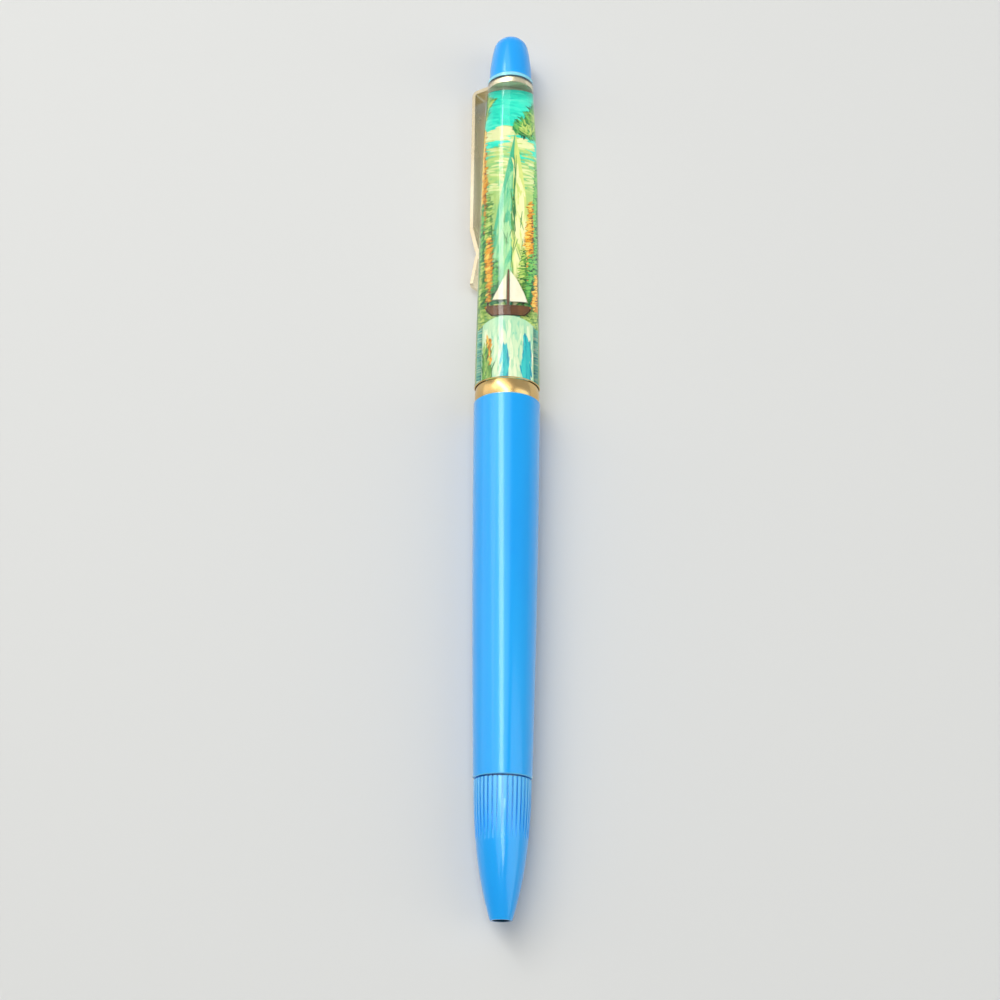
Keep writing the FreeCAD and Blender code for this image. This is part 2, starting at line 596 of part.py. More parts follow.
# drive pins: short round pins from the carrier through the cam slots into the keyways
for name, side in (("drive_pin_left", ""), ("drive_pin_right", "-")):
    pin = new_body(name)
    inner = half("refill_diameter") + " + 0.1"
    sketch = new_sketch(pin, "pin_outline", "YZ_Plane", side + "(" + inner + ")")
    circle = sketch.addGeometry(Part.Circle(FreeCAD.Vector(0, number(sketch, "at.pins"), 0), FreeCAD.Vector(0, 0, 1), 0.5))
    hold(sketch, circle, 3, "0", "at.pins")
    index = sketch.addConstraint(Sketcher.Constraint("Diameter", circle, 1.0))
    sketch.setExpression("Constraints[%d]" % index, full("sizes.pin_diameter"))
    rod = pin.newObject("PartDesign::Pad", "rod")
    rod.Profile = sketch
    rod.Reversed = side == "-"
    rod.setExpression("Length", full(half("pin_tip_diameter") + " - (" + inner + ")"))
    doc.recompute()

# refill: thin metal tube, turned point pressed into its front, and the writing ball
BALL = half("ball_diameter")
POINT = "sizes.point_place + " + BALL + " * 0.7"
SHOULDER = POINT + " + sizes.point_length"
refill = new_body("refill_tube")
turned(refill, "tube_shell", [
    (half("refill_bore"), SHOULDER),
    (half("refill_diameter"), SHOULDER),
    (half("refill_diameter"), "sizes.point_place + sizes.refill_length - 0.5"),
    (half("refill_diameter") + " - 0.12", "sizes.point_place + sizes.refill_length"),
    (half("refill_bore"), "sizes.point_place + sizes.refill_length"),
])
tip = new_body("refill_point")
turned(tip, "point_turning", [
    (BALL + " + 0.03", POINT),
    (half("point_tip_diameter"), POINT),
    ("0.62", POINT + " + 1.3"),
    ("0.8", POINT + " + 1.3"),
    (half("refill_diameter"), POINT + " + 3.6"),
    (half("refill_diameter"), SHOULDER),
    (half("refill_bore") + " - sizes.fit_gap / 2", SHOULDER),
    (half("refill_bore") + " - sizes.fit_gap / 2", SHOULDER + " + sizes.point_stem"),
    ("0.2", SHOULDER + " + sizes.point_stem"),
    ("0.2", "sizes.point_place + sizes.ball_diameter + 0.15"),
    (BALL + " + 0.03", "sizes.point_place + sizes.ball_diameter - 0.1"),
])
ball = new_body("writing_ball")
turned(ball, "ball", [
    ("0", "sizes.point_place"),
    ("0", "sizes.point_place + sizes.ball_diameter", BALL, "sizes.point_place + " + BALL),
])

doc.recompute()
for item in doc.Objects:
    if "Invalid" in item.State or "Error" in item.State:
        raise RuntimeError("object in error: " + item.Name + " " + item.getStatusString())
bodies = [item for item in doc.Objects if item.TypeId == "PartDesign::Body"]
for item in bodies:
    shape = item.Shape
    if shape.isNull() or not shape.isValid() or len(shape.Solids) != 1:
        raise RuntimeError("bad shape: " + item.Name)
os.makedirs("parts", exist_ok=True)
for item in bodies:
    item.Shape.exportStep("parts/" + item.Label + ".step")
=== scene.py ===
import math
import random

import bpy
from mathutils import Matrix, Vector


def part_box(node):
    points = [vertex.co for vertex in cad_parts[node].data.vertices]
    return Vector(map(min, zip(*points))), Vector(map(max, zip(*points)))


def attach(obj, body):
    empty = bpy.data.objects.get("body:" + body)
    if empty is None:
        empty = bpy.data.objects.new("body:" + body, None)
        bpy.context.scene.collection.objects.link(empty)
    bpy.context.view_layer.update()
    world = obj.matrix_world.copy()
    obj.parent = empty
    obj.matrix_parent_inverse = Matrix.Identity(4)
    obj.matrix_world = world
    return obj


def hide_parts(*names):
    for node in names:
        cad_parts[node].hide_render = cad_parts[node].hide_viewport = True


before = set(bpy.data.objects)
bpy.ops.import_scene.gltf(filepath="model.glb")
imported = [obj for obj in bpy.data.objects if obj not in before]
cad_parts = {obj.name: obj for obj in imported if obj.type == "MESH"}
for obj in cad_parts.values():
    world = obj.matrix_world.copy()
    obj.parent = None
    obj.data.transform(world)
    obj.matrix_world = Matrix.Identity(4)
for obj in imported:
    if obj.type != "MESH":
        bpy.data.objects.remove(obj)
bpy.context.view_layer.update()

MM = 0.001


# ---- Camera ----
# A phone-like view from 71 degrees above the table, on the nose side of the pen,
# about 280 mm from the barrel, with the pen leaning slightly to the right in the frame.
barrel_low, barrel_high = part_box("barrel")
axis_x = (barrel_low.x + barrel_high.x) / 2
axis_z = (barrel_low.z + barrel_high.z) / 2
nose_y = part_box("nose_cone")[0].y

VIEW_ELEVATION = math.radians(70.15)
VIEW_DISTANCE = 279.8 * MM
VIEW_AIM = 61.0 * MM
VIEW_LEAN = math.radians(0.72)
VIEW_SIDESTEP = 0.86 * MM

camera = bpy.data.objects.new("camera", bpy.data.cameras.new("camera"))
bpy.context.scene.collection.objects.link(camera)
bpy.context.scene.camera = camera
camera.data.sensor_width = 36.0
camera.data.lens = 68.4
camera.data.clip_start = 0.005
aim = Vector((axis_x - VIEW_SIDESTEP, nose_y + VIEW_AIM, axis_z))
away = Vector((0, -math.cos(VIEW_ELEVATION), math.sin(VIEW_ELEVATION)))
camera.rotation_mode = "QUATERNION"
camera.location = aim + away * VIEW_DISTANCE
lean = Matrix.Rotation(VIEW_LEAN, 4, away)
camera.rotation_quaternion = (lean @ (-away).to_track_quat("-Z", "Y").to_matrix().to_4x4()).to_quaternion()


# ---- Table and light ----
# A plain pale table top, which is not part of the pen. A strip light and a broad softbox, just
# left of overhead, draw the highlight down the barrel, and two weaker panels fill the sides.
# The room lights softly, and the eye, gloss and clear plastic see a paler backdrop.
def tone(red, green, blue):
    """A colour as it is read off a screen, from 0 to 255, turned into the shader's linear values."""
    out = []
    for value in (red, green, blue):
        part = value / 255
        out.append(part / 12.92 if part < 0.04045 else ((part + 0.055) / 1.055) ** 2.4)
    return (*out, 1.0)


def new_material(name):
    """A node material, with its nodes, its links and its shader."""
    material = bpy.data.materials.new(name)
    material.use_nodes = True
    nodes = material.node_tree.nodes
    return material, nodes, material.node_tree.links, nodes["Principled BSDF"]


def add_mesh(name, verts, faces, materials, smooth=True):
    """A mesh object in the scene, made of points and faces."""
    mesh = bpy.data.meshes.new(name)
    mesh.from_pydata(verts, [], faces)
    for material in materials:
        mesh.materials.append(material)
    mesh.validate()
    if smooth:
        mesh.shade_smooth()
    thing = bpy.data.objects.new(name, mesh)
    bpy.context.scene.collection.objects.link(thing)
    return thing


TABLE_HALF = 0.8
table_top, _, _, shader = new_material("pale_table")
shader.inputs["Roughness"].default_value = 0.75
shader.inputs["Base Color"].default_value = tone(219, 219, 217)
table = add_mesh("table", [(-TABLE_HALF, -TABLE_HALF, 0), (TABLE_HALF, -TABLE_HALF, 0),
                           (TABLE_HALF, TABLE_HALF, 0), (-TABLE_HALF, TABLE_HALF, 0)],
                 [(0, 1, 2, 3)], [table_top], smooth=False)

world = bpy.data.worlds.new("room")
bpy.context.scene.world = world
world.use_nodes = True
nodes, links = world.node_tree.nodes, world.node_tree.links
room = nodes["Background"]
room.inputs["Color"].default_value = (0.94, 0.97, 1.0, 1)
room.inputs["Strength"].default_value = 0.2
backdrop = nodes.new("ShaderNodeBackground")
backdrop.inputs["Color"].default_value = (0.94, 0.96, 0.97, 1)
backdrop.inputs["Strength"].default_value = 0.5
ray = nodes.new("ShaderNodeLightPath")
seen_or_mirrored = nodes.new("ShaderNodeMath")
seen_or_mirrored.operation = "MAXIMUM"
links.new(ray.outputs["Is Camera Ray"], seen_or_mirrored.inputs[0])
links.new(ray.outputs["Is Glossy Ray"], seen_or_mirrored.inputs[1])
in_sight = nodes.new("ShaderNodeMath")
in_sight.operation = "MAXIMUM"
links.new(seen_or_mirrored.outputs["Value"], in_sight.inputs[0])
links.new(ray.outputs["Is Transmission Ray"], in_sight.inputs[1])
either = nodes.new("ShaderNodeMixShader")
links.new(in_sight.outputs["Value"], either.inputs["Fac"])
links.new(room.outputs["Background"], either.inputs[1])
links.new(backdrop.outputs["Background"], either.inputs[2])
links.new(either.outputs["Shader"], nodes["World Output"].inputs["Surface"])


def add_panel(name, place, width, length, watts, tint):
    """A rectangular light that faces the pen."""
    panel = bpy.data.lights.new(name, "AREA")
    panel.shape = "RECTANGLE"
    panel.size = width
    panel.size_y = length
    panel.energy = watts
    panel.color = tint
    thing = bpy.data.objects.new(name, panel)
    thing.location = place
    thing.rotation_mode = "QUATERNION"
    thing.rotation_quaternion = (aim - Vector(place)).to_track_quat("-Z", "Y")
    bpy.context.scene.collection.objects.link(thing)


add_panel("strip_light", place=(-0.17, 0.2, 0.75), width=0.16, length=1.1, watts=3.3, tint=(1.0, 1.0, 0.98))
add_panel("wide_softbox", place=(-0.26, 0.3, 0.78), width=0.8, length=1.1, watts=3.4,
          tint=(1.0, 0.99, 0.97))
add_panel("right_panel", place=(0.7, -0.1, 0.5), width=0.5, length=0.9, watts=2.0, tint=(0.95, 0.98, 1.0))
add_panel("left_panel", place=(-0.78, 0.26, 0.4), width=0.5, length=0.9, watts=1.3, tint=(1.0, 0.98, 0.95))
bpy.context.scene.view_settings.view_transform = "Standard"


# ---- Blue shells: barrel, nose cone and end cap ----
# Azure polystyrene, injection moulded and left glossy from the mould. The barrel is pressed
# over the cam sleeve, the nose snaps on and turns, the cap is pressed into the tube.
def object_noise(nodes, links, scale, stretch=(1, 1, 1), detail=2.0):
    """A noise over the piece itself; stretch above one packs the pattern closer on that axis."""
    place = nodes.new("ShaderNodeTexCoord")
    mapping = nodes.new("ShaderNodeMapping")
    mapping.inputs["Scale"].default_value = stretch
    noise = nodes.new("ShaderNodeTexNoise")
    noise.inputs["Scale"].default_value = scale
    noise.inputs["Detail"].default_value = detail
    links.new(place.outputs["Object"], mapping.inputs["Vector"])
    links.new(mapping.outputs["Vector"], noise.inputs["Vector"])
    return noise.outputs["Fac"]


def spread(nodes, links, source, low, high, from_low=0.3, from_high=0.7):
    """Maps a noise onto a range of a shader value."""
    span = nodes.new("ShaderNodeMapRange")
    span.inputs["From Min"].default_value = from_low
    span.inputs["From Max"].default_value = from_high
    span.inputs["To Min"].default_value = low
    span.inputs["To Max"].default_value = high
    links.new(source, span.inputs["Value"])
    return span.outputs["Result"]


def two_tones(nodes, links, source, first, second, low=0.35, high=0.65):
    """Blends two colours where a noise runs from low to high."""
    ramp = nodes.new("ShaderNodeValToRGB")
    ramp.color_ramp.elements[0].position = low
    ramp.color_ramp.elements[0].color = first
    ramp.color_ramp.elements[1].position = high
    ramp.color_ramp.elements[1].color = second
    links.new(source, ramp.inputs["Fac"])
    return ramp.outputs["Color"]


def relief(nodes, links, shader, heights):
    """Stacks bumps: each entry is a source, a height in metres and a strength."""
    last = None
    for source, height, strength in heights:
        bump = nodes.new("ShaderNodeBump")
        bump.inputs["Distance"].default_value = height
        bump.inputs["Strength"].default_value = strength
        links.new(source, bump.inputs["Height"])
        if last:
            links.new(last, bump.inputs["Normal"])
        last = bump.outputs["Normal"]
    links.new(last, shader.inputs["Normal"])


FLOW_DEEP = 0.03 * MM
SCUFF_DEEP = 0.003 * MM


def moulded_blue(name, deep, light, gloss_low, gloss_high):
    """Glossy polystyrene: two near blues, flow lines along the pen, fine scuffs and a clear skin."""
    material, nodes, links, shader = new_material(name)
    cloud = object_noise(nodes, links, 90, (1, 0.35, 1), 3)
    links.new(two_tones(nodes, links, cloud, deep, light), shader.inputs["Base Color"])
    haze = object_noise(nodes, links, 700, (1, 0.25, 1), 4)
    links.new(spread(nodes, links, haze, gloss_low, gloss_high), shader.inputs["Roughness"])
    flow = object_noise(nodes, links, 260, (1, 0.12, 1), 2)
    scuffs = object_noise(nodes, links, 5200, (1, 0.04, 1), 2)
    relief(nodes, links, shader, [(flow, FLOW_DEEP, 0.2), (scuffs, SCUFF_DEEP, 0.3)])
    shader.inputs["Specular IOR Level"].default_value = 0.65
    shader.inputs["Specular Tint"].default_value = (0.28, 0.95, 1.0, 1)
    shader.inputs["Coat Weight"].default_value = 0.75
    shader.inputs["Coat Roughness"].default_value = 0.12
    shader.inputs["Subsurface Weight"].default_value = 0.08
    shader.inputs["Subsurface Radius"].default_value = (0.1, 0.6, 1.0)
    shader.inputs["Subsurface Scale"].default_value = 0.0008
    return material


def dress(node, material, band=None, place=None):
    """Gives a solid its material, and a second one to the faces that place picks by radius and height."""
    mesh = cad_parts[node].data
    mesh.materials.clear()
    mesh.materials.append(material)
    if band:
        mesh.materials.append(band)
    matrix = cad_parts[node].matrix_world
    for polygon in mesh.polygons:
        centre = matrix @ polygon.center
        radius = math.hypot(centre.x - axis_x, centre.z - axis_z)
        polygon.material_index = 1 if band and place(radius / MM, (centre.y - nose_y) / MM) else 0


# heights up the pen from the nose's opening and radii from its axis, in millimetres
SEAM_UP = (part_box("nose_cone")[1].y - nose_y) / MM
BARREL_UP = (barrel_high.y - nose_y) / MM
RIM_UP = (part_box("scene_tube")[1].y - nose_y) / MM
SEAM_GAP = 0.2
RIM_BEVEL = 0.21
RIM_INSIDE = 3.9
NOSE_BORE = 1.3
FLANGE_INSIDE = 3.3
FLANGE_HIGH = 0.79
GRIP_LONG = 9
PALEST = 0.5
# painted shade: the bore deep in the nose is a darker blue
nose_bore_painted_shade = moulded_blue("nose_bore_painted_shade", tone(0, 34, 66), tone(0, 44, 84), 0.4, 0.5)
# painted highlight: a paler blue on the cap's flange, for the bright arc where it meets the tube
cap_rim_painted_highlight = moulded_blue("cap_rim_painted_highlight", tone(120, 218, 246), tone(160, 234, 252), 0.12, 0.2)
# painted highlight: a paler blue on the barrel's rim bevels at the ring and at the seam
barrel_rims_painted_highlight = moulded_blue("barrel_rims_painted_highlight", tone(96, 206, 250), tone(132, 222, 253), 0.2, 0.3)
dress("barrel", moulded_blue("barrel_blue", tone(0, 163, 252), tone(0, 170, 254), 0.28, 0.34),
      barrel_rims_painted_highlight, lambda radius, up: radius > RIM_INSIDE
      and not SEAM_UP + SEAM_GAP + RIM_BEVEL < up < BARREL_UP - RIM_BEVEL)

# painted highlight: the nose's own blue turns paler over the grip, towards the seam
nose_blue = moulded_blue("nose_blue", tone(0, 162, 253), tone(4, 170, 255), 0.28, 0.36)
nodes, links = nose_blue.node_tree.nodes, nose_blue.node_tree.links
base_socket = nodes["Principled BSDF"].inputs["Base Color"]
along = nodes.new("ShaderNodeSeparateXYZ")
links.new(nodes.new("ShaderNodeTexCoord").outputs["Object"], along.inputs["Vector"])
grip = spread(nodes, links, along.outputs["Y"], 0.0, PALEST,
              nose_y + (SEAM_UP - GRIP_LONG) * MM, nose_y + SEAM_UP * MM)
grip_painted_highlight = nodes.new("ShaderNodeMix")
grip_painted_highlight.data_type = "RGBA"
first_colour, second_colour = [socket for socket in grip_painted_highlight.inputs if socket.type == "RGBA"]
mixed_colour = [socket for socket in grip_painted_highlight.outputs if socket.type == "RGBA"][0]
links.new(grip, grip_painted_highlight.inputs["Factor"])
links.new(base_socket.links[0].from_socket, first_colour)
second_colour.default_value = tone(140, 224, 253)
links.new(mixed_colour, base_socket)
dress("nose_cone", nose_blue, nose_bore_painted_shade, lambda radius, up: radius < NOSE_BORE and up < SEAM_UP / 2)
dress("end_cap", moulded_blue("cap_blue", tone(6, 160, 253), tone(30, 172, 255), 0.36, 0.46),
      cap_rim_painted_highlight, lambda radius, up: radius > FLANGE_INSIDE and RIM_UP < up < RIM_UP + FLANGE_HIGH)


# ---- Centre ring ----
# A turned brass ring with a bright gold flash, held between barrel and tube. Fine turning
# lines run round it, it is slightly duller in patches, and glue wets its upper face.
LINE_DRAWN_OUT = 0.02
LINE_DEEP = 0.004 * MM


def plated_metal(name, deep, light, gloss_low, gloss_high, lines, line_axis):
    """Bright metal, a little duller in patches, with fine lines packed along one axis."""
    material, nodes, links, shader = new_material(name)
    shader.inputs["Metallic"].default_value = 1.0
    patches = object_noise(nodes, links, 150, (1, 1, 1), 3)
    links.new(two_tones(nodes, links, patches, deep, light, 0.3, 0.7), shader.inputs["Base Color"])
    links.new(spread(nodes, links, patches, gloss_high, gloss_low), shader.inputs["Roughness"])
    stretch = [LINE_DRAWN_OUT] * 3
    stretch[line_axis] = 1.0
    turning = object_noise(nodes, links, lines, stretch, 3)
    relief(nodes, links, shader, [(turning, LINE_DEEP, 0.3)])
    return material


GRAIN_DEEP = 0.008 * MM


def dull_finish(name, deep, light):
    """Matt moulded plastic, glue that has set, or a pale matt tone painted onto a shaded face."""
    material, nodes, links, shader = new_material(name)
    cloud = object_noise(nodes, links, 300, (1, 1, 1), 3)
    links.new(two_tones(nodes, links, cloud, deep, light), shader.inputs["Base Color"])
    links.new(spread(nodes, links, cloud, 0.42, 0.55), shader.inputs["Roughness"])
    grain = object_noise(nodes, links, 4000, (1, 1, 1), 3)
    relief(nodes, links, shader, [(grain, GRAIN_DEEP, 0.4)])
    return material


RING_UP = (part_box("centre_ring")[1].y - nose_y) / MM
FACE_TOLERANCE = 0.02
ring_glue = dull_finish("ring_glue", tone(208, 164, 90), tone(236, 200, 128))
dress("centre_ring", plated_metal("gold_flash", tone(206, 166, 102), tone(230, 198, 136), 0.2, 0.27, 9000, 1),
      ring_glue, lambda radius, up: up > RING_UP - FACE_TOLERANCE)


# ---- Clip ----
# Pale gold plated spring steel: one strip on a drawn cup, held by the cap's spigot in the
# tube's mouth and bent over its rim. The cup's floor carries painted light: a pale matt cream that lifts it
# out of shade.
CUP_DEEP = 1.0
CUP_OUTSIDE = 2.98
CUP_TOLERANCE = 0.03
# painted light: the cup's shaded floor is a pale matt cream instead of plated metal
cup_floor_painted_light = dull_finish("cup_floor_painted_light", tone(214, 208, 172), tone(236, 226, 190))
dress("clip", plated_metal("champagne_plate", tone(234, 216, 180), tone(247, 235, 204), 0.2, 0.3, 5200, 0),
      cup_floor_painted_light, lambda radius, up: radius < CUP_OUTSIDE and abs(up - RIM_UP + CUP_DEEP) < CUP_TOLERANCE)


# ---- Hidden works ----
# The moulded acetal cam sleeve and refill carrier, the steel drive pins, and the metal refill
# with its brass tube, bright point and hard ball, which all sit inside the barrel and nose.
acetal = dull_finish("white_acetal", tone(226, 225, 218), tone(238, 237, 230))
for node in ("cam_sleeve", "refill_carrier", "bottom_stopper"):
    dress(node, acetal)
steel = plated_metal("bright_steel", tone(176, 178, 182), tone(214, 216, 220), 0.16, 0.30, 7000, 1)
for node in ("drive_pin_left", "drive_pin_right", "refill_point", "writing_ball"):
    dress(node, steel)
brass = plated_metal("refill_brass", tone(186, 150, 82), tone(216, 182, 112), 0.22, 0.36, 6000, 1)
dress("refill_tube", brass)


# ---- Scene tube ----
# A clear acrylic moulding, polished, filled with clear oil of nearly the same refraction, so
# its bore wall can't be seen: light bends only at the outside. It is glued into the barrel.
RING_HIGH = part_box("centre_ring")[1].y
tube_low, tube_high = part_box("scene_tube")
RIM_Y = tube_high.y
SPIGOT_R = 4.15 * MM
SHOULDER_R = (tube_high.x - tube_low.x) / 2
WAIST_R = 4.515 * MM
BULGE_R = 4.22 * MM
NECK_R = 3.69 * MM
RIM_R = 3.65 * MM
BORE_LOW_R = 3.45 * MM
BORE_HIGH_R = 3.0 * MM
WAIST_DROP = 21.5 * MM
BULGE_DROP = 11.7 * MM
NECK_DROP = 3 * MM
FOOT_BEVEL = 0.12 * MM
FOOT_INSET = 0.02 * MM
RIM_ROUND = ((0.01, 0.12), (-0.02, 0.03), (-0.1, 0.0))
WALL_STEPS = 12
CURVE_STEPS = 16
AROUND = 160
SHARP = math.radians(28)
CLOSE = 0.01 * MM
WAVE_DEEP = 0.01 * MM
SCRATCH_DEEP = 0.002 * MM


def arc_through(first, middle, last, steps):
    """Points of the circle through three points of an outline, given as radius and place."""
    ax, ay = first
    bx, by = middle
    cx, cy = last
    d = 2 * (ax * (by - cy) + bx * (cy - ay) + cx * (ay - by))
    a2, b2, c2 = ax * ax + ay * ay, bx * bx + by * by, cx * cx + cy * cy
    ox = (a2 * (by - cy) + b2 * (cy - ay) + c2 * (ay - by)) / d
    oy = (a2 * (cx - bx) + b2 * (ax - cx) + c2 * (bx - ax)) / d
    start = math.atan2(ay - oy, ax - ox)
    sweep = math.atan2(cy - oy, cx - ox) - start
    radius = math.hypot(ax - ox, ay - oy)
    return [(ox + radius * math.cos(start + sweep * i / steps),
             oy + radius * math.sin(start + sweep * i / steps)) for i in range(steps + 1)]


def turned_piece(name, outline, materials, pick):
    """A closed outline of radius and place, turned about the axis; pick gives each band's material."""
    verts, faces, bands = [], [], []
    count = len(outline)
    for step in range(AROUND):
        angle = 2 * math.pi * step / AROUND
        for radius, along in outline:
            verts.append((axis_x + radius * math.sin(angle), along, axis_z + radius * math.cos(angle)))
    for step in range(AROUND):
        here, there = step * count, (step + 1) % AROUND * count
        for i in range(count):
            j = (i + 1) % count
            faces.append((here + i, there + i, there + j, here + j))
            bands.append(pick(outline[i], outline[j]))
    piece = add_mesh(name, verts, faces, materials)
    for polygon, band in zip(piece.data.polygons, bands):
        polygon.material_index = band
    piece.data.set_sharp_from_angle(angle=SHARP)
    return piece


def clear_material(name, tint, index):
    """Clear plastic that lets light straight through to what it covers, but bends what is seen."""
    material, nodes, links, shader = new_material(name)
    shader.inputs["Base Color"].default_value = tint
    shader.inputs["IOR"].default_value = index
    shader.inputs["Transmission Weight"].default_value = 1.0
    marks = object_noise(nodes, links, 350, (1, 0.2, 1), 3)
    links.new(spread(nodes, links, marks, 0.0, 0.035), shader.inputs["Roughness"])
    swirl = object_noise(nodes, links, 120, (1, 0.15, 1), 1)
    scratch = object_noise(nodes, links, 6000, (1, 0.05, 1), 2)
    relief(nodes, links, shader, [(swirl, WAVE_DEEP, 0.2), (scratch, SCRATCH_DEEP, 0.2)])
    see = nodes.new("ShaderNodeBsdfTransparent")
    see.inputs["Color"].default_value = tint
    path = nodes.new("ShaderNodeLightPath")
    mix = nodes.new("ShaderNodeMixShader")
    links.new(path.outputs["Is Shadow Ray"], mix.inputs["Fac"])
    links.new(shader.outputs["BSDF"], mix.inputs[1])
    links.new(see.outputs["BSDF"], mix.inputs[2])
    links.new(mix.outputs["Shader"], nodes["Material Output"].inputs["Surface"])
    return material


def wetted_material(name, tint):
    """A surface between two clears of equal refraction: nothing is seen but a trace of tint."""
    material, nodes, links, shader = new_material(name)
    see = nodes.new("ShaderNodeBsdfTransparent")
    cloud = object_noise(nodes, links, 60, (1, 1, 1), 1)
    links.new(two_tones(nodes, links, cloud, tint, (1, 1, 1, 1), 0.2, 0.8), see.inputs["Color"])
    links.new(see.outputs["BSDF"], nodes["Material Output"].inputs["Surface"])
    return material


ACRYLIC_INDEX = 1.49
ACRYLIC_TINT = (0.985, 0.995, 0.99, 1)
acrylic = clear_material("clear_acrylic", ACRYLIC_TINT, ACRYLIC_INDEX)
wetted = wetted_material("wetted_wall", ACRYLIC_TINT)
stopper_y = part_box("top_stopper")[0].y
waist_y = RIM_Y - WAIST_DROP
foot_r = SHOULDER_R - FOOT_INSET
outline = [(BORE_LOW_R, tube_low.y), (SPIGOT_R, tube_low.y), (SPIGOT_R, RING_HIGH),
           (foot_r - FOOT_BEVEL, RING_HIGH), (foot_r, RING_HIGH + FOOT_BEVEL)]
for i in range(1, WALL_STEPS + 1):
    part = i / WALL_STEPS
    outline.append((SHOULDER_R + (WAIST_R - SHOULDER_R) * part, RING_HIGH + (waist_y - RING_HIGH) * part))
outline += arc_through((WAIST_R, waist_y), (BULGE_R, RIM_Y - BULGE_DROP), (NECK_R, RIM_Y - NECK_DROP),
                       CURVE_STEPS)[1:]
outline += [(RIM_R + out * MM, RIM_Y - down * MM) for out, down in RIM_ROUND]
outline += [(BORE_HIGH_R, RIM_Y), (BORE_HIGH_R, stopper_y), (BORE_LOW_R, RING_HIGH)]


def tube_face(first, second):
    """Oil wets the bore (1), glue wets the foot in ring and barrel (1), and its bead is on the bevel (2)."""
    in_bore = max(first[0], second[0]) <= BORE_LOW_R + CLOSE
    in_barrel = max(first[1], second[1]) <= RING_HIGH + CLOSE
    on_bevel = max(first[1], second[1]) <= RING_HIGH + FOOT_BEVEL + CLOSE
    return 1 if in_bore or in_barrel else 2 if on_bevel else 0


scene_tube = turned_piece("scene_tube_clear", outline, [acrylic, wetted, ring_glue], tube_face)
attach(scene_tube, "pen_body")
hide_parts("scene_tube")
dress("top_stopper", wetted)


# ---- Picture films ----
# Two thin printed films stand in the oil. The back one carries a lake below a pale peak, with
# golden larches on the left and firs on the right; the front one is the near bank and its water.
PICTURE_LOW = RING_HIGH
back_low, back_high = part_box("background_film")
PICTURE_HIGH = back_high.y
picture_mid = (back_low.z + back_high.z) / 2
FILM_TAPER = 0.47 * MM
HALF_LOW = (back_high.x - back_low.x) / 2
HALF_HIGH = HALF_LOW - FILM_TAPER
FILM_HALF_THICK = 0.1 * MM
back_top = picture_mid + FILM_HALF_THICK
LAYER = 0.01 * MM
STROKE_LIFT = LAYER * 0.8
EDGE_KEPT = 0.995
TUCK = 1 * MM
STEADY = 0.5


def half_width(along):
    """Half the width of the picture, which narrows towards the top stopper as the tube does."""
    part = min(max((along - PICTURE_LOW) / (stopper_y - PICTURE_LOW), 0), 1)
    return HALF_LOW + (HALF_HIGH - HALF_LOW) * part


def on_film(across, up, level):
    """A place on the picture: across runs from -1 to 1 over the film, up is millimetres above the ring."""
    along = PICTURE_LOW + up * MM
    return (axis_x + across * half_width(along), along, level)


# how much of each ink's light comes back through the oil and the wall
INK_DEPTH = 0.8


def printed(name, stops, scale=1500, stretch=(1, 0.4, 1), sway=0.6, swing=0.9):
    """Printing ink on film: a ramp of near colours, picked by each stroke's shade and by wet-edge noise."""
    material, nodes, links, shader = new_material(name)
    mark = nodes.new("ShaderNodeAttribute")
    mark.attribute_name = "shade"
    grain = object_noise(nodes, links, scale, stretch, 3)
    grain.node.inputs["Distortion"].default_value = sway
    blend = nodes.new("ShaderNodeMath")
    blend.operation = "MULTIPLY_ADD"
    blend.inputs[1].default_value = swing
    shift = nodes.new("ShaderNodeMath")
    shift.operation = "SUBTRACT"
    shift.inputs[1].default_value = swing / 2
    links.new(grain, blend.inputs[0])
    links.new(mark.outputs["Fac"], shift.inputs[0])
    links.new(shift.outputs["Value"], blend.inputs[2])
    ramp = nodes.new("ShaderNodeValToRGB")
    marks = ramp.color_ramp.elements
    while len(marks) < len(stops):
        marks.new(0.5)
    for i, colour in enumerate(stops):
        marks[i].position = i / (len(stops) - 1)
        marks[i].color = (*(INK_DEPTH * part for part in colour[:3]), 1.0)
    links.new(blend.outputs["Value"], ramp.inputs["Fac"])
    links.new(ramp.outputs["Color"], shader.inputs["Base Color"])
    shader.inputs["Roughness"].default_value = 0.5
    shader.inputs["Specular IOR Level"].default_value = 0.1
    return material


def set_shade(piece, value):
    """The shade that printed ink reads, the same on every face."""
    layer = piece.data.attributes.new("shade", "FLOAT", "FACE")
    for item in layer.data:
        item.value = value


def slab(name, front, back, material, shade):
    """A flat piece with its real thickness, closed between the points of its front and its back."""
    count = len(front)
    faces = [tuple(range(count)), tuple(range(2 * count - 1, count - 1, -1))]
    faces += [(i, i + count, (i + 1) % count + count, (i + 1) % count) for i in range(count)]
    piece = add_mesh(name, front + back, faces, [material], smooth=False)
    set_shade(piece, shade)
    return piece


def film_sheet(name, outline, middle, material, node):
    """A film cut to an outline, which is across and up."""
    front, back = ([on_film(x, y, level) for x, y in outline]
                   for level in (middle + FILM_HALF_THICK, middle - FILM_HALF_THICK))
    sheet = slab(name, front, back, material, STEADY)
    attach(sheet, "pen_body")
    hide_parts(node)


def flat_patch(name, outline, level, materials):
    """One flat face; its outline is across and up, given anticlockwise."""
    return add_mesh(name, [on_film(x, y, level) for x, y in outline], [tuple(range(len(outline)))],
                    materials, smooth=False)


def field(name, outline, layer, ink, shade=STEADY):
    """One patch of ink on the back film; higher layers lie over lower ones."""
    patch = flat_patch(name, outline, back_top + layer * LAYER, [ink])
    set_shade(patch, shade)
    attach(patch, "pen_body")


STROKE_CORNERS = 10
SIZE_LOW, SIZE_HIGH = 0.55, 1.3
LEAN_DRAW, SIZE_DRAW, SHADE_DRAW = 101, 202, 303


